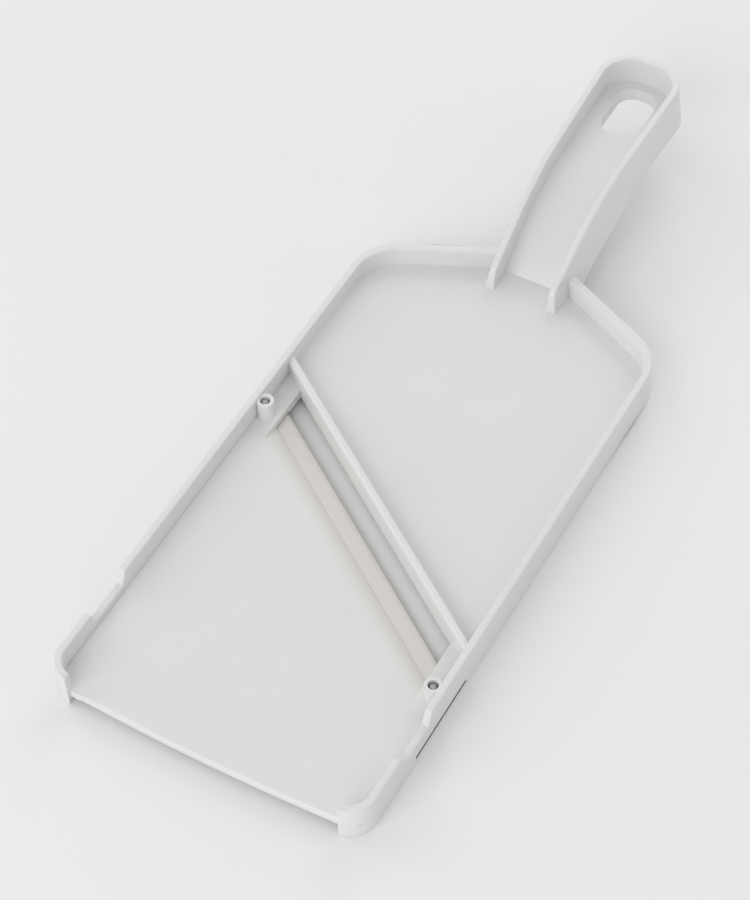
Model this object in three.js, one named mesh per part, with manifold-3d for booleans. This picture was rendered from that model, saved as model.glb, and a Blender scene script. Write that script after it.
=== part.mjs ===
// Mandoline slicer lying on its food side, hollow underside up.
// +X is the slicer's width, +Y runs from the open end towards the handle, +Z is up.
// The rails' edges rest on the plane z = 0. Units are millimetres. Lengths along Y are
// counted from a line across the blade's area; the group moves the middle of the whole length to y = 0.
import * as THREE from 'three';
import { mergeVertices } from 'three/addons/utils/BufferGeometryUtils.js';
import Module from 'manifold-3d';

const wasm = await Module();
wasm.setup();

// ---- driving dimensions ----
const BODY_WIDTH = 95;
const WALL = 2.2;
const RIM_TOP = 11.8;
const END_Y = -111.6;              // outer face of the near corner walls
const END_RADIUS = 8;
const END_WALL_X = 40.3;           // where each corner wall stops
const SHOULDER_Y = 50.0;           // where the shoulder arc's centre lies
const SHOULDER_EXTRA = 0.7;        // the shoulder walls are this much thicker
const SHOULDER_RADIUS = 15;
const SHOULDER_ANGLE = THREE.MathUtils.degToRad(24.5);
const PLATE_EDGE_Y = -110.2;       // the open plate edge beside the corner walls
const PLATE_EDGE_BOW = 1.1;        // how far its middle bulges
const PLATE_EDGE_ROUND = 1.0;
const FEED_FLOOR = 5.7;
const FEED_FACE = 3.1;             // food face of the feed plate
const EXIT_FLOOR = 5.0;
const EXIT_FACE = 2.0;             // food face of the exit plate

const CUT_ANGLE = THREE.MathUtils.degToRad(35);
const RIB_FAR = -15.7;             // offsets along the normal of the cut line
const RIB_NEAR = -18.1;
const RIB_TOP = 10.0;
const RIB_ROUND = 1.0;
const EDGE_LINE = -23.9;
const WINDOW_BACK = -29.4;
const RAMP_TOP = -34.5;
const RAMP_FOOT_Z = 3.0;
const BLADE_BACK = -41.3;
const BLADE_THICKNESS = 0.6;
const BLADE_BEVEL = 1.3;
const BLADE_LEFT_X = -45.9;
const BLADE_RIGHT_X = 45.7;
const CUT_HALF_WIDTH = 39.3;
const CLEARANCE = 0.3;

const SCREW_LINE = -30.2;
const SCREW_X = 43.4;
const BOSS_RADIUS = 2.5;
const BOSS_HOLE_RADIUS = 1.5;
const BOSS_TOP = 10.9;
const SCREW_HEAD = { radius: 2.2, low: 0.5, high: 1.7 };
const SCREW = { root: 1.05, crest: 1.35, tipRadius: 0.85, tipZ: 10.1, pitch: 0.8 };
const BLADE_HOLE_RADIUS = 1.6;
const SLOT = { yLow: -84.0, yHigh: -57.1, zLow: 1.7, zHigh: 2.9 };

const NOTCH = { nearTop: -91.5, near: -90.3, far: -77.1, rampTop: -75.2, floor: 7.4 };

const HANDLE_WALL = 2.1;
const HANDLE_ROOT_HALF = 10.5;
const HANDLE_TIP_HALF = 12.8;
const HANDLE_TIP_Y = 150.9;
const HANDLE_TIP_RADIUS = 11;
const HANDLE_TOP = 29.8;
const HANDLE_BOTTOM = 16.2;
const HANDLE_DRAFT = THREE.MathUtils.degToRad(7);  // the grip widens towards its food side
const FIN_NOSE_Y = 64.6;
const WEB_TOP = 20.8;
const WEB_THICKNESS = 3.0;
const WEB_START_Y = 72.9;
const HANG_HOLE = { halfWidth: 6.1, yLow: 125.2, yHigh: 145.3, radius: 5, collar: 1.6, collarZ: 16.9 };

const BIG = 400;
const ROUND_STEPS = 10;

// ---- solids ----
function solidOf(geometry) {
  const bare = geometry.clone();
  bare.deleteAttribute('normal');
  bare.deleteAttribute('uv');
  const merged = mergeVertices(bare, 1e-4);
  const mesh = new wasm.Mesh({
    numProp: 3,
    vertProperties: new Float32Array(merged.attributes.position.array),
    triVerts: new Uint32Array(merged.index.array),
  });
  return new wasm.Manifold(mesh);
}

function geometryOf(solid) {
  const mesh = solid.getMesh();
  const geometry = new THREE.BufferGeometry();
  geometry.setAttribute('position', new THREE.BufferAttribute(new Float32Array(mesh.vertProperties), 3));
  geometry.setIndex(new THREE.BufferAttribute(new Uint32Array(mesh.triVerts), 1));
  geometry.computeVertexNormals();
  return geometry;
}

function prism(shape, zLow, zHigh) {
  const settings = { depth: zHigh - zLow, bevelEnabled: false, curveSegments: ROUND_STEPS };
  return solidOf(new THREE.ExtrudeGeometry(shape, settings).translate(0, 0, zLow));
}

function block(xLow, xHigh, yLow, yHigh, zLow, zHigh) {
  const box = new THREE.BoxGeometry(xHigh - xLow, yHigh - yLow, zHigh - zLow);
  box.translate((xLow + xHigh) / 2, (yLow + yHigh) / 2, (zLow + zHigh) / 2);
  return solidOf(box);
}

function upright(radius, x, y, zLow, zHigh, segments = 28) {
  const post = new THREE.CylinderGeometry(radius, radius, zHigh - zLow, segments);
  post.rotateX(Math.PI / 2).translate(x, y, (zLow + zHigh) / 2);
  return solidOf(post);
}

// A profile in the (offset, z) plane of the cut line, drawn out along that line.
function alongCut(points) {
  const shape = new THREE.Shape(points.map(([offset, z]) => new THREE.Vector2(offset, z)));
  const run = new THREE.ExtrudeGeometry(shape, { depth: BIG, bevelEnabled: false });
  run.translate(0, 0, -BIG / 2);
  const normal = new THREE.Vector3(Math.sin(CUT_ANGLE), Math.cos(CUT_ANGLE), 0);
  const along = new THREE.Vector3(Math.cos(CUT_ANGLE), -Math.sin(CUT_ANGLE), 0);
  const up = new THREE.Vector3(0, 0, 1);
  run.applyMatrix4(new THREE.Matrix4().makeBasis(normal, up, along));
  return solidOf(run);
}

function cutStrip(offsetLow, offsetHigh, zLow, zHigh) {
  return alongCut([[offsetLow, zLow], [offsetHigh, zLow], [offsetHigh, zHigh], [offsetLow, zHigh]]);
}

// A side profile in the (y, z) plane, drawn out across the whole width.
function acrossWidth(shape) {
  const settings = { depth: BIG, bevelEnabled: false, curveSegments: 2 * ROUND_STEPS };
  const run = new THREE.ExtrudeGeometry(shape, settings).translate(0, 0, -BIG / 2);
  const basis = new THREE.Matrix4().makeBasis(
    new THREE.Vector3(0, 1, 0),
    new THREE.Vector3(0, 0, 1),
    new THREE.Vector3(1, 0, 0),
  );
  return solidOf(run.applyMatrix4(basis));
}

// ---- body outlines ----
function bodyOutline(inset) {
  const half = BODY_WIDTH / 2 - inset;
  const near = END_Y + inset;
  const endRadius = END_RADIUS - inset;
  const arc = SHOULDER_RADIUS - inset;
  const arcX = BODY_WIDTH / 2 - SHOULDER_RADIUS;
  const arcY = SHOULDER_Y - SHOULDER_EXTRA * inset / WALL;
  const arcEndX = arcX + arc * Math.sin(SHOULDER_ANGLE);
  const arcEndY = arcY + arc * Math.cos(SHOULDER_ANGLE);
  const rootX = HANDLE_ROOT_HALF - inset;
  const rootY = arcEndY + (arcEndX - rootX) * Math.tan(SHOULDER_ANGLE);
  const shape = new THREE.Shape();
  shape.moveTo(-half + endRadius, near);
  shape.lineTo(half - endRadius, near);
  shape.absarc(half - endRadius, near + endRadius, endRadius, -Math.PI / 2, 0, false);
  shape.lineTo(half, arcY);
  shape.absarc(arcX, arcY, arc, 0, Math.PI / 2 - SHOULDER_ANGLE, false);
  shape.lineTo(rootX, rootY);
  shape.lineTo(-rootX, rootY);
  shape.lineTo(-arcEndX, arcEndY);
  shape.absarc(-arcX, arcY, arc, Math.PI / 2 + SHOULDER_ANGLE, Math.PI, false);
  shape.lineTo(-half, near + endRadius);
  shape.absarc(-half + endRadius, near + endRadius, endRadius, Math.PI, 1.5 * Math.PI, false);
  return shape;
}

function handleHalfWidth(y) {
  const t = THREE.MathUtils.clamp((y - FIN_NOSE_Y) / (140 - FIN_NOSE_Y), 0, 1);
  return THREE.MathUtils.lerp(HANDLE_ROOT_HALF, HANDLE_TIP_HALF, t);
}

function handleOutline(inset) {
  const tipHalf = HANDLE_TIP_HALF - inset;
  const tipRadius = HANDLE_TIP_RADIUS - inset;
  const tipY = HANDLE_TIP_Y - inset;
  const arcY = tipY - tipRadius;
  const startY = inset > 0 ? FIN_NOSE_Y - 5 : FIN_NOSE_Y;
  const startHalf = handleHalfWidth(startY) - inset;
  const shape = new THREE.Shape();
  shape.moveTo(-startHalf, startY);
  shape.lineTo(startHalf, startY);
  shape.lineTo(tipHalf, arcY);
  shape.absarc(tipHalf - tipRadius, arcY, tipRadius, 0, Math.PI / 2, false);
  shape.absarc(-tipHalf + tipRadius, arcY, tipRadius, Math.PI / 2, Math.PI, false);
  return shape;
}

// ---- handle side profiles ----
function handleSideProfile() {
  const shape = new THREE.Shape();
  const tipEnd = HANDLE_TIP_Y + 1;
  shape.moveTo(FIN_NOSE_Y, FEED_FACE + 1);
  shape.lineTo(76, FEED_FACE);
  shape.bezierCurveTo(92, 9.5, 108, HANDLE_BOTTOM - 0.2, 132, HANDLE_BOTTOM);
  shape.lineTo(tipEnd - 4, HANDLE_BOTTOM);
  shape.quadraticCurveTo(tipEnd, HANDLE_BOTTOM, tipEnd, HANDLE_BOTTOM + 4);
  shape.lineTo(tipEnd, HANDLE_TOP);
  shape.lineTo(140, HANDLE_TOP);
  shape.lineTo(112, HANDLE_TOP - 1.4);
  shape.bezierCurveTo(88, HANDLE_TOP - 2.4, 76, 17.2, 66.4, 13.0);
  shape.quadraticCurveTo(65, 12, FIN_NOSE_Y, FEED_FLOOR);
  return shape;
}

function webTopCurve(shape, lift) {
  shape.bezierCurveTo(78.5, 12.9 + lift, 92, WEB_TOP + lift, 108, WEB_TOP + lift);
}

function aboveWebProfile() {
  const shape = new THREE.Shape();
  shape.moveTo(0, FEED_FLOOR);
  shape.lineTo(WEB_START_Y, FEED_FLOOR);
  webTopCurve(shape, 0);
  shape.lineTo(200, WEB_TOP);
  shape.lineTo(200, 60);
  shape.lineTo(0, 60);
  return shape;
}

function belowWebProfile() {
  const shape = new THREE.Shape();
  const rootY = 79;
  shape.moveTo(rootY, -10);
  shape.lineTo(200, -10);
  shape.lineTo(200, WEB_TOP - WEB_THICKNESS);
  shape.lineTo(108, WEB_TOP - WEB_THICKNESS);
  shape.bezierCurveTo(95, WEB_TOP - WEB_THICKNESS, 84, 12.0, rootY, FEED_FACE + 3);
  return shape;
}

// ---- body parts ----
function perimeterWall() {
  const ring = prism(bodyOutline(0), 0, RIM_TOP).subtract(prism(bodyOutline(WALL), -1, RIM_TOP + 1));
  return ring.subtract(block(-END_WALL_X, END_WALL_X, END_Y - 5, END_Y + 6, -1, RIM_TOP + 1));
}

// The outline of both plates, inside the walls and bowed at its open edge.
function floorOutline() {
  const half = BODY_WIDTH / 2 - WALL / 2;
  const radius = END_RADIUS - WALL / 2;
  const cornerX = half - radius;
  const cornerY = END_Y + END_RADIUS;
  const arc = SHOULDER_RADIUS - WALL / 2;
  const arcX = BODY_WIDTH / 2 - SHOULDER_RADIUS;
  const arcY = SHOULDER_Y - SHOULDER_EXTRA / 2;
  const arcTop = Math.PI / 2 - SHOULDER_ANGLE;
  const rise = arcX + arc * Math.sin(SHOULDER_ANGLE) - HANDLE_ROOT_HALF;
  const rootY = arcY + arc * Math.cos(SHOULDER_ANGLE) + rise * Math.tan(SHOULDER_ANGLE);
  const shape = new THREE.Shape();
  shape.moveTo(-END_WALL_X, PLATE_EDGE_Y);
  shape.quadraticCurveTo(0, PLATE_EDGE_Y - 2 * PLATE_EDGE_BOW, END_WALL_X, PLATE_EDGE_Y);
  shape.absarc(cornerX, cornerY, radius, -1.3, 0, false);
  shape.absarc(arcX, arcY, arc, 0, arcTop, false);
  shape.lineTo(HANDLE_ROOT_HALF, rootY);
  shape.lineTo(-HANDLE_ROOT_HALF, rootY);
  shape.absarc(-arcX, arcY, arc, Math.PI - arcTop, Math.PI, false);
  shape.absarc(-cornerX, cornerY, radius, Math.PI, Math.PI + 1.84, false);
  return shape;
}

function feedPlate() {
  return prism(floorOutline(), FEED_FACE, FEED_FLOOR).intersect(cutStrip(RIB_NEAR, BIG / 2, 0, 20));
}

// The exit plate's open edge is rounded over and under.
function exitPlate() {
  const round = PLATE_EDGE_ROUND;
  const rounded = new THREE.ExtrudeGeometry(floorOutline(), {
    depth: EXIT_FLOOR - EXIT_FACE - 2 * round,
    bevelThickness: round,
    bevelSize: round,
    bevelOffset: -round,
    bevelSegments: 4,
    curveSegments: ROUND_STEPS,
  });
  const edge = solidOf(rounded.translate(0, 0, EXIT_FACE + round));
  const edgeStrip = edge.intersect(block(-END_WALL_X, END_WALL_X, END_Y - 5, END_Y + 8, 0, 20));
  const main = prism(floorOutline(), EXIT_FACE, EXIT_FLOOR);
  const mainFront = block(-END_WALL_X, END_WALL_X, END_Y - 5, END_Y + 7.5, 0, 20);
  return main.subtract(mainFront).add(edgeStrip).intersect(cutStrip(-BIG / 2, RIB_NEAR + 0.5, 0, 20));
}

function rib() {
  const profile = [[RIB_NEAR, EXIT_FACE + 1], [RIB_FAR, EXIT_FACE + 1]];
  for (let step = 0; step <= 4; step += 1) {
    const turn = (step / 4) * Math.PI / 2;
    const lift = RIB_TOP - RIB_ROUND + RIB_ROUND * Math.sin(turn);
    profile.push([RIB_FAR - RIB_ROUND + RIB_ROUND * Math.cos(turn), lift]);
  }
  for (let step = 4; step >= 0; step -= 1) {
    const turn = (step / 4) * Math.PI / 2;
    const lift = RIB_TOP - RIB_ROUND + RIB_ROUND * Math.sin(turn);
    profile.push([RIB_NEAR + RIB_ROUND - RIB_ROUND * Math.cos(turn), lift]);
  }
  return alongCut(profile).intersect(prism(bodyOutline(WALL / 2), 0, 20));
}

// The slice opening, the window over the blade and the ramp behind it.
function sliceWindow() {
  const top = EXIT_FLOOR + 10;
  const profile = [
    [RIB_NEAR, -5],
    [RIB_NEAR, top],
    [RAMP_TOP, top],
    [RAMP_TOP, EXIT_FLOOR],
    [WINDOW_BACK, RAMP_FOOT_Z],
    [WINDOW_BACK, -5],
  ];
  return alongCut(profile).intersect(block(-CUT_HALF_WIDTH, CUT_HALF_WIDTH, -100, 60, -6, 30));
}

function bladePocket() {
  const pocketTop = EXIT_FACE + BLADE_THICKNESS + CLEARANCE;
  const left = BLADE_LEFT_X - CLEARANCE;
  const inside = block(left, BODY_WIDTH / 2 - WALL, -120, 60, SLOT.zLow, pocketTop);
  const strip = cutStrip(BLADE_BACK - CLEARANCE, EDGE_LINE + CLEARANCE, SLOT.zLow, pocketTop);
  const innerFace = BODY_WIDTH / 2 - WALL;
  const wallSlot = block(innerFace - 0.1, innerFace + 8, SLOT.yLow, SLOT.yHigh, SLOT.zLow, SLOT.zHigh);
  return strip.intersect(inside).add(wallSlot);
}

function screwPlace(side) {
  const x = side * SCREW_X;
  const y = (SCREW_LINE - x * Math.sin(CUT_ANGLE)) / Math.cos(CUT_ANGLE);
  return { x, y };
}

function notchCutter(side) {
  const shape = new THREE.Shape([
    new THREE.Vector2(NOTCH.near, NOTCH.floor),
    new THREE.Vector2(NOTCH.far, NOTCH.floor),
    new THREE.Vector2(NOTCH.rampTop, RIM_TOP),
    new THREE.Vector2(NOTCH.rampTop, RIM_TOP + 5),
    new THREE.Vector2(NOTCH.nearTop, RIM_TOP + 5),
    new THREE.Vector2(NOTCH.nearTop, RIM_TOP),
  ]);
  const xLow = side > 0 ? BODY_WIDTH / 2 - WALL - 1 : -BODY_WIDTH / 2 - 5;
  return acrossWidth(shape).intersect(block(xLow, xLow + WALL + 6, -100, 0, 0, 40));
}

// Height of the grip's upper edge at a place along it.
function handleTopAt(y) {
  if (y >= 140) return HANDLE_TOP;
  if (y >= 112) return THREE.MathUtils.mapLinear(y, 112, 140, HANDLE_TOP - 1.4, HANDLE_TOP);
  const rise = new THREE.CubicBezierCurve(
    new THREE.Vector2(66.4, 13.0),
    new THREE.Vector2(76, 17.2),
    new THREE.Vector2(88, HANDLE_TOP - 2.4),
    new THREE.Vector2(112, HANDLE_TOP - 1.4),
  );
  let low = 0;
  let high = 1;
  for (let step = 0; step < 20; step += 1) {
    const middle = (low + high) / 2;
    if (rise.getPoint(middle).x < y) low = middle;
    else high = middle;
  }
  return rise.getPoint(low).y;
}

// Leans the outer faces of the grip outwards below its upper edge.
function draftOutwards(solid) {
  const geometry = geometryOf(solid);
  const place = geometry.attributes.position;
  for (let i = 0; i < place.count; i += 1) {
    const y = place.getY(i);
    const drop = Math.max(0, handleTopAt(y) - place.getZ(i));
    const lean = drop * Math.tan(HANDLE_DRAFT);
    place.setX(i, place.getX(i) * (1 + lean / handleHalfWidth(y)));
    const tipShare = Math.max(0, (y - 140) / (HANDLE_TIP_Y - 140));
    place.setY(i, y + lean * tipShare * 0.5);
  }
  return solidOf(geometry);
}

function handle() {
  const inner = prism(handleOutline(HANDLE_WALL), -20, 80).intersect(acrossWidth(belowWebProfile()));
  const outer = prism(handleOutline(0), -20, 80).intersect(acrossWidth(handleSideProfile()));
  const { yLow, yHigh, halfWidth, collar, collarZ } = HANG_HOLE;
  const lip = block(-halfWidth - collar, halfWidth + collar, yLow - collar, yHigh + 3, collarZ, WEB_TOP - 1);
  return draftOutwards(outer).subtract(inner).add(lip.intersect(inner.add(outer)));
}

function handleChannel() {
  return prism(handleOutline(HANDLE_WALL), -20, 80).intersect(acrossWidth(aboveWebProfile()));
}

function hangingHole() {
  const { halfWidth, yLow, yHigh, radius } = HANG_HOLE;
  const shape = new THREE.Shape();
  shape.absarc(halfWidth - radius, yLow + radius, radius, -Math.PI / 2, 0, false);
  shape.absarc(halfWidth - radius, yHigh - radius, radius, 0, Math.PI / 2, false);
  shape.absarc(-halfWidth + radius, yHigh - radius, radius, Math.PI / 2, Math.PI, false);
  shape.absarc(-halfWidth + radius, yLow + radius, radius, Math.PI, 1.5 * Math.PI, false);
  return prism(shape, 0, 60);
}

function bodyFrame() {
  let solid = perimeterWall().add(feedPlate()).add(exitPlate()).add(rib()).add(handle());
  for (const side of [-1, 1]) {
    const { x, y } = screwPlace(side);
    solid = solid.add(upright(BOSS_RADIUS, x, y, EXIT_FLOOR - 1, BOSS_TOP));
  }
  solid = solid.subtract(handleChannel()).subtract(hangingHole());
  solid = solid.subtract(sliceWindow()).subtract(bladePocket());
  for (const side of [-1, 1]) {
    const { x, y } = screwPlace(side);
    solid = solid.subtract(upright(BOSS_HOLE_RADIUS, x, y, -5, BOSS_TOP + 5));
    solid = solid.subtract(upright(SCREW_HEAD.radius + CLEARANCE, x, y, -5, EXIT_FACE + CLEARANCE));
    solid = solid.subtract(notchCutter(side));
  }
  return geometryOf(solid);
}

// ---- blade and screws ----
function slicingBlade() {
  const low = EXIT_FACE;
  const high = EXIT_FACE + BLADE_THICKNESS;
  const profile = [
    [BLADE_BACK, low],
    [EDGE_LINE, low],
    [EDGE_LINE, low + 0.08],
    [EDGE_LINE - BLADE_BEVEL, high],
    [BLADE_BACK, high],
  ];
  let solid = alongCut(profile).intersect(block(BLADE_LEFT_X, BLADE_RIGHT_X, -120, 60, 0, 10));
  for (const side of [-1, 1]) {
    const { x, y } = screwPlace(side);
    solid = solid.subtract(upright(BLADE_HOLE_RADIUS, x, y, -5, 20, 20));
  }
  return geometryOf(solid);
}

function bladeScrew() {
  const { radius, low, high } = SCREW_HEAD;
  const profile = [new THREE.Vector2(0, low), new THREE.Vector2(radius - 0.4, low)];
  profile.push(new THREE.Vector2(radius, low + 0.4), new THREE.Vector2(radius, high));
  profile.push(new THREE.Vector2(SCREW.root, high));
  const threadLow = high + 1.6;
  const turns = Math.floor((SCREW.tipZ - 0.6 - threadLow) / SCREW.pitch);
  for (let turn = 0; turn < turns; turn += 1) {
    const z = threadLow + turn * SCREW.pitch;
    profile.push(new THREE.Vector2(SCREW.root, z));
    profile.push(new THREE.Vector2(SCREW.crest, z + SCREW.pitch / 2));
  }
  profile.push(new THREE.Vector2(SCREW.root, threadLow + turns * SCREW.pitch));
  profile.push(new THREE.Vector2(SCREW.tipRadius, SCREW.tipZ), new THREE.Vector2(0, SCREW.tipZ));
  const lathe = new THREE.LatheGeometry(profile, 24);
  lathe.rotateX(Math.PI / 2);
  const recess = [0, Math.PI / 2].map((turn) => {
    const slot = new THREE.BoxGeometry(2.4, 0.6, 1.4);
    return solidOf(slot.rotateZ(turn).translate(0, 0, low));
  });
  return geometryOf(solidOf(lathe).subtract(recess[0]).subtract(recess[1]));
}

// ---- assembly ----
const plastic = new THREE.MeshStandardMaterial({ color: 0xd8dbd7, roughness: 0.45, metalness: 0 });
const bladeSteel = new THREE.MeshStandardMaterial({ color: 0xcfcac5, roughness: 0.3, metalness: 0.9 });
const screwSteel = new THREE.MeshStandardMaterial({ color: 0xb9b7b3, roughness: 0.35, metalness: 0.9 });

function piece(name, geometry, material) {
  const mesh = new THREE.Mesh(geometry, material);
  mesh.name = name;
  return mesh;
}

const slicer = new THREE.Group();
slicer.add(piece('body_frame', bodyFrame(), plastic));
slicer.add(piece('slicing_blade', slicingBlade(), bladeSteel));
for (const [name, side] of [['left_blade_screw', -1], ['right_blade_screw', 1]]) {
  const screw = piece(name, bladeScrew(), screwSteel);
  const { x, y } = screwPlace(side);
  screw.position.set(x, y, 0);
  slicer.add(screw);
}

const extent = new THREE.Box3().setFromObject(slicer);
slicer.position.setY(-(extent.min.y + extent.max.y) / 2);

const group = new THREE.Group();
group.add(slicer);

export default group;
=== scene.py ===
"""Finished look of a hand-held mandoline slicer, dressed on its fixed CAD frame.

The slicer lies on its food side with the hollow underside up. One pale plastic
moulding carries a ground steel blade that two small screws hold from below.
Everything is in metres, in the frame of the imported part.
"""

import logging  # noqa: E402
import math  # noqa: E402
from dataclasses import dataclass  # noqa: E402
from enum import Enum  # noqa: E402
from typing import Any, Iterable, Sequence  # noqa: E402

import bmesh  # noqa: E402
import bpy  # noqa: E402
from mathutils import Matrix, Vector  # noqa: E402


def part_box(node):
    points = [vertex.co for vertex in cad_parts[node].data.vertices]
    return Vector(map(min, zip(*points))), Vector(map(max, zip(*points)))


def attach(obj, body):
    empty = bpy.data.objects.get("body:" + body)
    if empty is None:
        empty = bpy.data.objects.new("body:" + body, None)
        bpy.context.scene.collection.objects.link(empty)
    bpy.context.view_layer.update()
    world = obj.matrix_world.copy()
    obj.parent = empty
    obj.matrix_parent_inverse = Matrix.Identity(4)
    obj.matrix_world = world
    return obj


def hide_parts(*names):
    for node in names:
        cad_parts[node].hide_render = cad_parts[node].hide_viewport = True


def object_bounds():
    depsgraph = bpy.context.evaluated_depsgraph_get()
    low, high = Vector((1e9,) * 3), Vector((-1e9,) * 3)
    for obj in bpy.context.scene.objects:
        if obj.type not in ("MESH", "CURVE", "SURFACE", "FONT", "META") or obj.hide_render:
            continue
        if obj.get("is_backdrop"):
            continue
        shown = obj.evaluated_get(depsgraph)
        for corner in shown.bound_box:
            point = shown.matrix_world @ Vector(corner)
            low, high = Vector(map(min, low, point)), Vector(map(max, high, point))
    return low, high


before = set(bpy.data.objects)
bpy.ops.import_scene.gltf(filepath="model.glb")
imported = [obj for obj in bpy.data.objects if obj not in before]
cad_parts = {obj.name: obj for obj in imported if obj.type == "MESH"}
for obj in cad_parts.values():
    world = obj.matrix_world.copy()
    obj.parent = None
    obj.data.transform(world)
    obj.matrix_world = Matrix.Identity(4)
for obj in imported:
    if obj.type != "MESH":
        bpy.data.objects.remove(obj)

LOG = logging.getLogger("slicer")
MM = 0.001
CUT_ANGLE = math.radians(35.0)


class Slot(Enum):
    """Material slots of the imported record."""

    FRAME = "frame_plastic"
    BLADE = "blade_steel"
    SCREW = "screw_steel"


# ---------------------------------------------------------------- shader maths


class Value:
    """A shader socket that can be used in arithmetic."""

    def __init__(self, net: "Net", socket: Any) -> None:
        """Keeps the socket and the node tree that it belongs to.

        Args:
            net: The tree that new nodes are added to.
            socket: An output socket.
        """
        self.net = net
        self.socket = socket

    def _math(self, operation: str, *others: Any) -> "Value":
        """Adds one Math node with this value first.

        Args:
            operation: The Math node's operation.
            others: The values or numbers of its other sockets.

        Returns:
            The result as a value.
        """
        return self.net.maths(operation, self, *others)

    def __add__(self, other: Any) -> "Value":
        """Sum."""
        return self._math("ADD", other)

    def __radd__(self, other: Any) -> "Value":
        """Sum with a number in front."""
        return self._math("ADD", other)

    def __sub__(self, other: Any) -> "Value":
        """Difference."""
        return self._math("SUBTRACT", other)

    def __rsub__(self, other: Any) -> "Value":
        """Difference from a number in front."""
        return self.net.maths("SUBTRACT", other, self)

    def __mul__(self, other: Any) -> "Value":
        """Product."""
        return self._math("MULTIPLY", other)

    def __rmul__(self, other: Any) -> "Value":
        """Product with a number in front."""
        return self._math("MULTIPLY", other)

    def __pow__(self, other: Any) -> "Value":
        """Power."""
        return self._math("POWER", other)

    def band(self, low: float, high: float) -> "Value":
        """Rises from 0 at low to 1 at high, with soft ends.

        Args:
            low: Where the result is still 0.
            high: Where the result reaches 1.

        Returns:
            The mask as a value.
        """
        node = self.net.add(
            "ShaderNodeMapRange",
            {"interpolation_type": "SMOOTHSTEP", "clamp": True},
            {"Value": self, "From Min": low, "From Max": high},
        )
        return Value(self.net, node.outputs["Result"])

    def inside(self, low: float, high: float, soft: float) -> "Value":
        """1 between low and high, 0 outside, with soft borders.

        Args:
            low: Lower end of the range.
            high: Upper end of the range.
            soft: Width of each border.

        Returns:
            The mask as a value.
        """
        return self.band(low - soft, low) * (1.0 - self.band(high, high + soft))


class Net:
    """A material's node tree with short ways to add nodes."""

    def __init__(self, name: str) -> None:
        """Makes a material whose tree holds one Principled shader.

        Args:
            name: The material's name.
        """
        self.material = bpy.data.materials.new(name)
        self.material.use_nodes = True
        self.tree = self.material.node_tree
        self.shader = self.tree.nodes["Principled BSDF"]
        self.place = self.add("ShaderNodeTexCoord").outputs["Object"]

    def add(
        self,
        kind: str,
        settings: dict[str, Any] | None = None,
        inputs: dict[Any, Any] | None = None,
    ) -> Any:
        """Adds a node, sets it, then fills or links its sockets.

        Args:
            kind: The node's type name.
            settings: Attributes of the node, set first.
            inputs: Numbers, tuples, sockets or values by socket name or index.

        Returns:
            The new node.
        """
        node = self.tree.nodes.new(kind)
        for name, value in (settings or {}).items():
            setattr(node, name, value)
        for name, value in (inputs or {}).items():
            self.feed(node.inputs[name], value)
        return node

    def feed(self, socket: Any, value: Any) -> None:
        """Links a socket to a value, or sets its number.

        Args:
            socket: The input socket.
            value: A value, a socket, a number or a tuple.
        """
        if isinstance(value, Value):
            value = value.socket
        if isinstance(value, bpy.types.NodeSocket):
            self.tree.links.new(value, socket)
        else:
            socket.default_value = value

    def maths(self, operation: str, *terms: Any) -> Value:
        """Adds a Math node.

        Args:
            operation: The node's operation.
            terms: Its sockets in order.

        Returns:
            The result as a value.
        """
        node = self.add("ShaderNodeMath", {"operation": operation}, dict(enumerate(terms)))
        return Value(self, node.outputs[0])

    def axes(self, centre: Sequence[float] = (0, 0, 0), turn: float = 0.0) -> list[Value]:
        """Object coordinates about a centre, turned round Z, as three values.

        Args:
            centre: The point that becomes zero, in metres.
            turn: Angle in radians that the pattern's X axis is turned by.

        Returns:
            The x, y and z values, in metres.
        """
        moved = self.add(
            "ShaderNodeMapping",
            {"vector_type": "TEXTURE"},
            {"Vector": self.place, "Location": tuple(centre), "Rotation": (0.0, 0.0, turn)},
        )
        split = self.add("ShaderNodeSeparateXYZ", None, {0: moved.outputs[0]})
        return [Value(self, split.outputs[i]) for i in range(3)]

    def vector(self, x: Any, y: Any, z: Any) -> Any:
        """Joins three values into a vector socket."""
        return self.add("ShaderNodeCombineXYZ", None, {0: x, 1: y, 2: z}).outputs[0]

    def noise(self, vector: Any, scale: float, detail: float = 2.0, rough: float = 0.5) -> Value:
        """Noise centred on 0.5.

        Args:
            vector: Where it is read.
            scale: Waves per metre.
            detail: Octaves.
            rough: Share of the finer octaves.

        Returns:
            The noise as a value.
        """
        node = self.add(
            "ShaderNodeTexNoise",
            None,
            {"Vector": vector, "Scale": scale, "Detail": detail, "Roughness": rough},
        )
        return Value(self, node.outputs["Fac"])

    def blend(self, share: Any, first: Any, second: Any) -> Any:
        """Mixes two colours.

        Args:
            share: How much of the second colour shows.
            first: Colour at share 0.
            second: Colour at share 1.

        Returns:
            The mixed colour's socket.
        """
        node = self.add(
            "ShaderNodeMix",
            {"data_type": "RGBA", "blend_type": "MIX"},
            {0: share, 6: first, 7: second},
        )
        return node.outputs[2]

    def bump(self, height: Value, depth: float, strength: float = 1.0) -> None:
        """Feeds a height into the shader's normal.

        Args:
            height: The height, about 0 to 1.
            depth: What a height of 1 stands for, in metres.
            strength: Share of the effect.
        """
        node = self.add(
            "ShaderNodeBump", None, {"Strength": strength, "Distance": depth, "Height": height}
        )
        self.feed(self.shader.inputs["Normal"], node.outputs[0])

    def finish(self, **inputs: Any) -> bpy.types.Material:
        """Sets the shader's sockets.

        Args:
            inputs: Values by socket name, with _ for a space.

        Returns:
            The material.
        """
        for name, value in inputs.items():
            self.feed(self.shader.inputs[name.replace("_", " ")], value)
        return self.material


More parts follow.
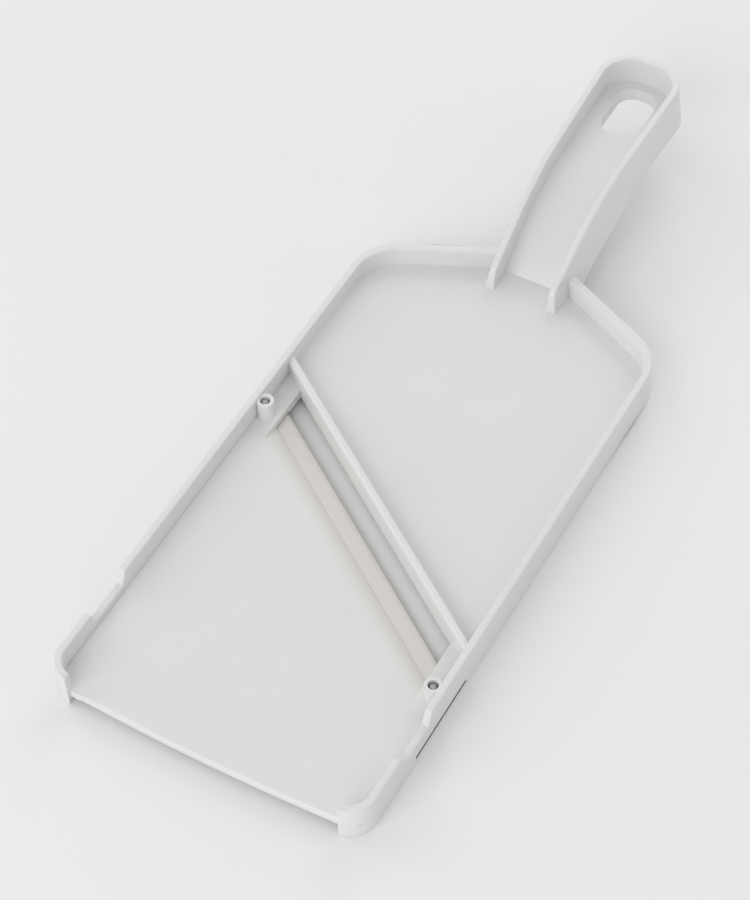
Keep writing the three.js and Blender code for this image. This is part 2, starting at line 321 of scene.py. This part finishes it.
def rgb(red: float, green: float, blue: float) -> tuple[float, float, float, float]:
    """Linear colour with full alpha."""
    return (red, green, blue, 1.0)


# -------------------------------------------------------------------- finishes


@dataclass(frozen=True)
class MouldedPlastic:
    """Pale satin plastic as it leaves a finely eroded steel mould."""

    name: str = "pale_moulded_plastic"
    colour: tuple[float, float, float, float] = rgb(0.742, 0.750, 0.737)
    cooler: tuple[float, float, float, float] = rgb(0.720, 0.733, 0.722)
    roughness: float = 0.40
    grain_scale: float = 2600.0
    grain_depth: float = 0.000012

    # Near-black painted shade, mixed into the blade slit and along the foot of the side walls.
    painted_shade: tuple[float, float, float, float] = rgb(0.070, 0.065, 0.062)
    # Darker warm painted shade for the sloping plastic beside the blade.
    painted_ramp_shade: tuple[float, float, float, float] = rgb(0.640, 0.610, 0.585)
    slot_x: tuple[float, float, float] = (45.6 * MM, 47.38 * MM, 0.04 * MM)
    slot_y: tuple[float, float, float] = (-104.5 * MM, -76.7 * MM, 0.2 * MM)
    slot_z: tuple[float, float, float] = (1.5 * MM, 3.1 * MM, 0.1 * MM)
    right_half: tuple[float, float] = (0.0, 1.0 * MM)
    foot_x: tuple[float, float, float] = (45.1 * MM, 45.7 * MM, 0.2 * MM)
    foot_z: tuple[float, float, float] = (4.6 * MM, 5.3 * MM, 0.3 * MM)
    ramp_rise: tuple[float, float] = (-2.6 * MM, 3.0 * MM)
    ramp_end: tuple[float, float] = (3.3 * MM, 3.5 * MM)
    ramp_top: tuple[float, float] = (3.0 * MM, 3.4 * MM)
    ramp_side: tuple[float, float] = (38.8 * MM, 39.4 * MM)
    slot_shade_share: float = 0.9
    foot_shade_share: float = 0.12
    ramp_shade_share: float = 0.75

    def make(self, blade: Vector) -> bpy.types.Material:
        """Builds the material.

        Args:
            blade: Middle of the blade, in metres.

        Returns:
            The material with flow clouds, fine grain, uneven gloss, painted shade on
            the sloping plastic beside the blade, and painted shade in the blade slit and along the
            wall foot.
        """
        net = Net(self.name)
        x, y, z = net.axes()
        side = net.maths("ABSOLUTE", x)
        # Painted shade: mask of the blade slit in the right wall.
        slot = side.inside(*self.slot_x) * z.inside(*self.slot_z)
        slot = slot * x.band(*self.right_half) * y.inside(*self.slot_y)
        # Painted shade: mask of the crease at the foot of the inner side walls.
        foot = side.inside(*self.foot_x) * z.inside(*self.foot_z)
        _, across, up = net.axes(blade, -CUT_ANGLE)
        # Painted shade: mask of the low sloping plastic beside the blade.
        ramp = across.band(*self.ramp_rise) * (1.0 - across.band(*self.ramp_end))
        ramp = ramp * (1.0 - up.band(*self.ramp_top)) * (1.0 - side.band(*self.ramp_side))
        flow = net.noise(net.place, 26.0, 3.0, 0.55)
        cloud = net.noise(net.place, 90.0, 2.0)
        speck = net.noise(net.place, 900.0, 2.0, 0.6)
        grain = net.noise(net.place, self.grain_scale, 1.5, 0.6)
        wave = net.noise(net.place, 60.0, 1.0)
        share = (flow * 0.7 + cloud * 0.3 + (speck - 0.5) * 0.15).band(0.30, 0.72)
        polished = cloud.band(0.45, 0.75)
        net.bump(grain * 0.5 + wave * 1.6, self.grain_depth)
        tone = net.blend(share, self.colour, self.cooler)
        # Mixes the darker painted shade into the sloping plastic beside the blade.
        tone = net.blend(ramp * self.ramp_shade_share, tone, self.painted_ramp_shade)
        # Painted shade: how much of the near-black shade colour the slit and the wall foot get.
        painted_shade_share = slot * self.slot_shade_share + foot * self.foot_shade_share
        return net.finish(
            Base_Color=net.blend(painted_shade_share, tone, self.painted_shade),
            Roughness=self.roughness + (speck - 0.5) * 0.10 - polished * 0.04,
        )


@dataclass(frozen=True)
class GroundSteel:
    """Thin stainless blade with a satin ground face and a honed edge."""

    name: str = "ground_blade_steel"
    colour: tuple[float, float, float, float] = rgb(0.765, 0.738, 0.710)
    ground: tuple[float, float, float, float] = rgb(0.715, 0.692, 0.665)
    honed: tuple[float, float, float, float] = rgb(0.790, 0.765, 0.735)
    # Near-black painted shade on the blade's end inside the wall slit.
    painted_end_shade: tuple[float, float, float, float] = rgb(0.060, 0.055, 0.050)
    roughness: float = 0.46
    metallic: float = 0.55
    bevel_line: float = 0.04 * MM
    end_line: tuple[float, float] = (45.4 * MM, 45.6 * MM)

    def make(self, centre: Sequence[float], edge: float) -> bpy.types.Material:
        """Builds the material.

        Args:
            centre: Middle of the blade, in metres.
            edge: Distance from that middle to the start of the honed bevel.

        Returns:
            The material with grinding lines that run along the blade, and painted shade on its end
            inside the wall slit.
        """
        net = Net(self.name)
        along, across, up = net.axes(centre, -CUT_ANGLE)
        lines = net.noise(net.vector(along * 14.0, across * 5200.0, up * 900.0), 1.0, 3.0, 0.6)
        broad = net.noise(net.vector(along * 40.0, across * 700.0, up * 80.0), 1.0, 2.0)
        stain = net.noise(net.place, 55.0, 3.0, 0.6).band(0.35, 0.7)
        bevel = across.band(edge - self.bevel_line, edge + self.bevel_line)
        tone = net.blend(lines * 0.6 + stain * 0.25, self.colour, self.ground)
        # Painted shade: the blade's end inside the wall slit turns near-black.
        end = net.axes()[0].band(*self.end_line)
        tone = net.blend(end, net.blend(bevel, tone, self.honed), self.painted_end_shade)
        net.bump(lines * (1.0 - bevel * 0.7) + broad * 0.3, 0.000004)
        return net.finish(
            Base_Color=tone,
            Metallic=self.metallic,
            Roughness=self.roughness + (lines - 0.5) * 0.18 + stain * 0.05 - bevel * 0.06,
        )


@dataclass(frozen=True)
class TurnedSteel:
    """Plain screw steel with fine turning rings round its axis."""

    name: str = "turned_screw_steel"
    colour: tuple[float, float, float, float] = rgb(0.42, 0.415, 0.40)
    worn: tuple[float, float, float, float] = rgb(0.62, 0.61, 0.595)
    roughness: float = 0.30

    def make(self, axis: Sequence[float]) -> bpy.types.Material:
        """Builds the material.

        Args:
            axis: A point on the screw's axis, in metres.

        Returns:
            The material with rings about that axis.
        """
        net = Net(self.name)
        x, y, up = net.axes(axis)
        radius = (x * x + y * y) ** 0.5
        rings = net.noise(net.vector(radius * 9000.0, up * 5000.0, 0.0), 1.0, 2.0, 0.6)
        smear = net.noise(net.place, 700.0, 3.0, 0.6)
        net.bump(rings, 0.000006)
        return net.finish(
            Base_Color=net.blend(smear.band(0.35, 0.7), self.colour, self.worn),
            Metallic=1.0,
            Roughness=self.roughness + (rings - 0.5) * 0.2 + (smear - 0.5) * 0.12,
        )


@dataclass(frozen=True)
class MattPaper:
    """Pale matt sheet that the slicer lies on."""

    name: str = "pale_table_sheet"
    colour: tuple[float, float, float, float] = rgb(0.86, 0.85, 0.845)
    shade: tuple[float, float, float, float] = rgb(0.845, 0.836, 0.832)

    def make(self) -> bpy.types.Material:
        """Builds the material.

        Returns:
            The material with faint clouds and a fine tooth.
        """
        net = Net(self.name)
        cloud = net.noise(net.place, 6.0, 3.0)
        tooth = net.noise(net.place, 1500.0, 2.0)
        net.bump(tooth, 0.00001)
        return net.finish(
            Base_Color=net.blend(cloud.band(0.3, 0.7), self.colour, self.shade),
            Roughness=0.75 + (tooth - 0.5) * 0.1,
        )


# ------------------------------------------------------------------ mesh tools


def shown(name: str, mesh: bmesh.types.BMesh, finish: bpy.types.Material) -> Any:
    """Turns a finished mesh into a piece that rides on the part.

    Args:
        name: The piece's name.
        mesh: Its mesh, which is freed.
        finish: Its material.

    Returns:
        The new object.
    """
    data = bpy.data.meshes.new(name)
    mesh.to_mesh(data)
    mesh.free()
    data.materials.append(finish)
    piece = bpy.data.objects.new(name, data)
    bpy.context.scene.collection.objects.link(piece)
    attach(piece, "root")
    LOG.info("%s: %d faces", name, len(data.polygons))
    return piece


def dress(node: str, finish: bpy.types.Material) -> None:
    """Gives a CAD node a better material.

    Args:
        node: The node's name.
        finish: The material that fills its slots.
    """
    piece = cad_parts[node]
    if not piece.data.materials:
        piece.data.materials.append(finish)
    for index in range(len(piece.material_slots)):
        piece.material_slots[index].material = finish
    LOG.info("%s: dressed in %s", node, finish.name)


@dataclass(frozen=True)
class Band:
    """A range of heights or places, in metres."""

    low: float = -1.0
    high: float = 1.0

    def holds(self, values: Iterable[float]) -> bool:
        """Whether every value lies inside."""
        return all(self.low <= value <= self.high for value in values)


# ------------------------------------------------------------------ assemblies


@dataclass
class FrameMoulding:
    """The one plastic body: plates, side walls, rib, screw bosses and handle."""

    node: str = "body_frame"
    merge: float = 0.002 * MM
    small_merge: float = 0.12 * MM
    nose_merge: float = 0.7 * MM
    flat: float = math.radians(0.25)
    sharp: float = math.radians(24.0)
    radius: float = 0.45 * MM
    steps: int = 3
    score_x: float = 0.35 * MM
    score_y: tuple[float, ...] = (-122, -85, -55, -28, 0, 22, 48, 75, 98)
    above_plates: Band = Band(5.9 * MM, 1.0)
    rails: Band = Band(-1.0, 0.5 * MM)
    upper: Band = Band(6.6 * MM, 1.0)
    boss_rim: Band = Band(10.6 * MM, 11.05 * MM)
    open_end: Band = Band(-1.0, -128.0 * MM)
    nose: Band = Band(44.6 * MM, 47.6 * MM)
    corner_x: float = 39.5 * MM
    crisp: float = math.radians(35.0)
    even_weight: int = 90

    def softens(self, edge: bmesh.types.BMEdge) -> bool:
        """Whether an edge of the moulding is rounded.

        Args:
            edge: The edge.

        Returns:
            True for the convex edges of walls, rib, grip and rails.
        """
        if not edge.is_manifold or edge.calc_face_angle_signed(0.0) < self.sharp:
            return False
        heights = [corner.co.z for corner in edge.verts]
        middle = (edge.verts[0].co + edge.verts[1].co) / 2
        if self.boss_rim.holds(heights):
            return False
        if min(heights) > MM and any(face.normal.z < -0.5 for face in edge.link_faces):
            return False
        at_corner_wall = abs(middle.x) > self.corner_x and self.open_end.holds([middle.y])
        return self.upper.holds(heights) or self.rails.holds(heights) or at_corner_wall

    def shape(self) -> bmesh.types.BMesh:
        """Copies the CAD body, makes its flats whole and softens its edges.

        Returns:
            The softened mesh.
        """
        mesh = bmesh.new()
        mesh.from_mesh(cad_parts[self.node].data)
        bmesh.ops.remove_doubles(mesh, verts=mesh.verts, dist=self.merge)
        loose = [v for v in mesh.verts if self.above_plates.holds([v.co.z])]
        loose += [v for v in mesh.verts if self.rails.holds([v.co.z])]
        bmesh.ops.remove_doubles(mesh, verts=loose, dist=self.small_merge)
        nose = [
            v for v in mesh.verts if self.nose.holds([v.co.y]) and self.above_plates.holds([v.co.z])
        ]
        bmesh.ops.remove_doubles(mesh, verts=nose, dist=self.nose_merge)
        bmesh.ops.dissolve_limit(
            mesh,
            angle_limit=self.flat,
            use_dissolve_boundaries=False,
            verts=mesh.verts,
            edges=mesh.edges,
            delimit=set(),
        )
        self._score(mesh, Vector((self.score_x, 0, 0)), Vector((1, 0, 0)))
        for place in self.score_y:
            self._score(mesh, Vector((0, place * MM, 0)), Vector((0, 1, 0)))
        edges = [edge for edge in mesh.edges if self.softens(edge)]
        bmesh.ops.bevel(
            mesh,
            geom=edges,
            offset=self.radius,
            offset_type="OFFSET",
            segments=self.steps,
            profile=0.5,
            affect="EDGES",
            clamp_overlap=False,
            loop_slide=True,
            material=-1,
        )
        bmesh.ops.remove_doubles(mesh, verts=mesh.verts, dist=self.merge)
        bmesh.ops.dissolve_degenerate(mesh, dist=self.merge, edges=mesh.edges)
        LOG.info("%d edges of the moulding rounded", len(edges))
        for face in mesh.faces:
            face.smooth = True
        return mesh

    @staticmethod
    def _score(mesh: bmesh.types.BMesh, point: Vector, normal: Vector) -> None:
        """Scores the mesh along a plane, so that no flat face is a ring.

        Args:
            mesh: The mesh.
            point: A point on the plane.
            normal: The plane's normal.
        """
        everything = [*mesh.verts, *mesh.edges, *mesh.faces]
        bmesh.ops.bisect_plane(
            mesh, geom=everything, dist=1e-6, plane_co=point, plane_no=normal
        )

    def build(self, finish: bpy.types.Material) -> Any:
        """Makes the moulding.

        Args:
            finish: Its plastic.

        Returns:
            The finished piece.
        """
        piece = shown("frame_moulding", self.shape(), finish)
        crisp = piece.modifiers.new("crisp_corners", "EDGE_SPLIT")
        crisp.split_angle = self.crisp
        even = piece.modifiers.new("even_shading", "WEIGHTED_NORMAL")
        even.weight = self.even_weight
        even.keep_sharp = True
        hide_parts(self.node)
        return piece


@dataclass
class CuttingSet:
    """The blade and the two screws that hold it."""

    blade: str = "slicing_blade"
    screws: tuple[str, ...] = ("left_blade_screw", "right_blade_screw")
    bevel: float = 1.3 * MM

    def middle(self, node: str) -> Vector:
        """Middle of a node's box."""
        low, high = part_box(node)
        return (low + high) / 2

    def half_depth(self) -> float:
        """Half of the blade's size across the cut line, from its box."""
        low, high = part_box(self.blade)
        width, length = high.x - low.x, high.y - low.y
        return (length - width * math.tan(CUT_ANGLE)) * math.cos(CUT_ANGLE) / 2

    def build(self) -> None:
        """Dresses the steel pieces."""
        edge = self.half_depth() - self.bevel
        dress(self.blade, GroundSteel().make(self.middle(self.blade), edge))
        for node in self.screws:
            finish = TurnedSteel(name=f"turned_{node}_steel")
            dress(node, finish.make(self.middle(node)))


@dataclass(frozen=True)
class Lamp:
    """One soft square lamp that faces the slicer, in metres and watts."""

    name: str
    place: tuple[float, float, float]
    size: float
    power: float

    def hang(self) -> None:
        """Adds the lamp to the scene."""
        data = bpy.data.lights.new(self.name, "AREA")
        data.size = self.size
        data.energy = self.power
        lamp = bpy.data.objects.new(self.name, data)
        lamp.location = self.place
        lamp.rotation_mode = "QUATERNION"
        lamp.rotation_quaternion = (-Vector(self.place)).to_track_quat("-Z", "Y")
        bpy.context.scene.collection.objects.link(lamp)


@dataclass
class Studio:
    """Table, soft light and camera."""

    azimuth: float = math.radians(31.43)
    elevation: float = math.radians(51.32)
    roll: float = math.radians(-2.49)
    distance: float = 0.69852
    aim_x: float = -0.01205
    aim_from_open_end: float = 0.11155
    lens: float = 99.57
    sky: float = 0.5
    sky_colour: tuple[float, float, float, float] = rgb(1.0, 0.995, 0.99)
    lamps: tuple[Lamp, ...] = (
        Lamp("left_softbox", (-1.25, 0.1, 0.65), 1.2, 4.5),
        Lamp("right_softbox", (1.25, 0.1, 0.65), 1.2, 2.4),
        Lamp("front_softbox", (-0.1, -1.25, 0.65), 1.2, 9.8),
        Lamp("back_softbox", (-0.1, 1.25, 0.65), 1.2, 7.1),
        Lamp("ceiling_softbox", (-0.3, 0.2, 1.5), 1.6, 0.5),
    )
    table_size: float = 6.0

    def table(self) -> None:
        """Lays the pale sheet under the slicer."""
        mesh = bmesh.new()
        bmesh.ops.create_grid(mesh, x_segments=8, y_segments=8, size=self.table_size / 2)
        data = bpy.data.meshes.new("table_sheet")
        mesh.to_mesh(data)
        mesh.free()
        data.materials.append(MattPaper().make())
        sheet = bpy.data.objects.new("table_sheet", data)
        bpy.context.scene.collection.objects.link(sheet)
        sheet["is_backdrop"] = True

    def light(self) -> None:
        """Sets the pale surroundings and hangs the lamps."""
        world = bpy.data.worlds.new("pale_room")
        bpy.context.scene.world = world
        world.use_nodes = True
        glow = world.node_tree.nodes["Background"]
        glow.inputs["Color"].default_value = self.sky_colour
        glow.inputs["Strength"].default_value = self.sky
        for lamp in self.lamps:
            lamp.hang()
        bpy.context.scene.view_settings.view_transform = "Standard"
        bpy.context.scene.view_settings.look = "None"

    def camera(self, low: Vector) -> None:
        """Places the camera.

        Args:
            low: Lowest corner of the part's box.
        """
        back = Vector(
            (
                math.sin(self.azimuth) * math.cos(self.elevation),
                -math.cos(self.azimuth) * math.cos(self.elevation),
                math.sin(self.elevation),
            )
        )
        level = (-back).cross(Vector((0, 0, 1))).normalized()
        lift = level.cross(-back)
        right = level * math.cos(self.roll) + lift * math.sin(self.roll)
        up = lift * math.cos(self.roll) - level * math.sin(self.roll)
        data = bpy.data.cameras.new("camera")
        data.lens = self.lens
        camera = bpy.data.objects.new("camera", data)
        aim = Vector((self.aim_x, low.y + self.aim_from_open_end, 0.0))
        turned = Matrix((right, up, back)).transposed().to_4x4()
        camera.matrix_world = Matrix.Translation(aim + back * self.distance) @ turned
        bpy.context.scene.collection.objects.link(camera)
        bpy.context.scene.camera = camera

    def build(self, low: Vector) -> None:
        """Sets up the whole studio.

        Args:
            low: Lowest corner of the part's box.
        """
        self.table()
        self.light()
        self.camera(low)


def main() -> None:
    """Builds the slicer's finished pieces and the studio."""
    logging.basicConfig(level=logging.INFO, format="%(name)s %(message)s")
    cad_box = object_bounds()
    Studio().build(cad_box[0])
    cutting = CuttingSet()
    FrameMoulding().build(MouldedPlastic().make(cutting.middle(cutting.blade)))
    cutting.build()


if __name__ == "__main__":
    main()
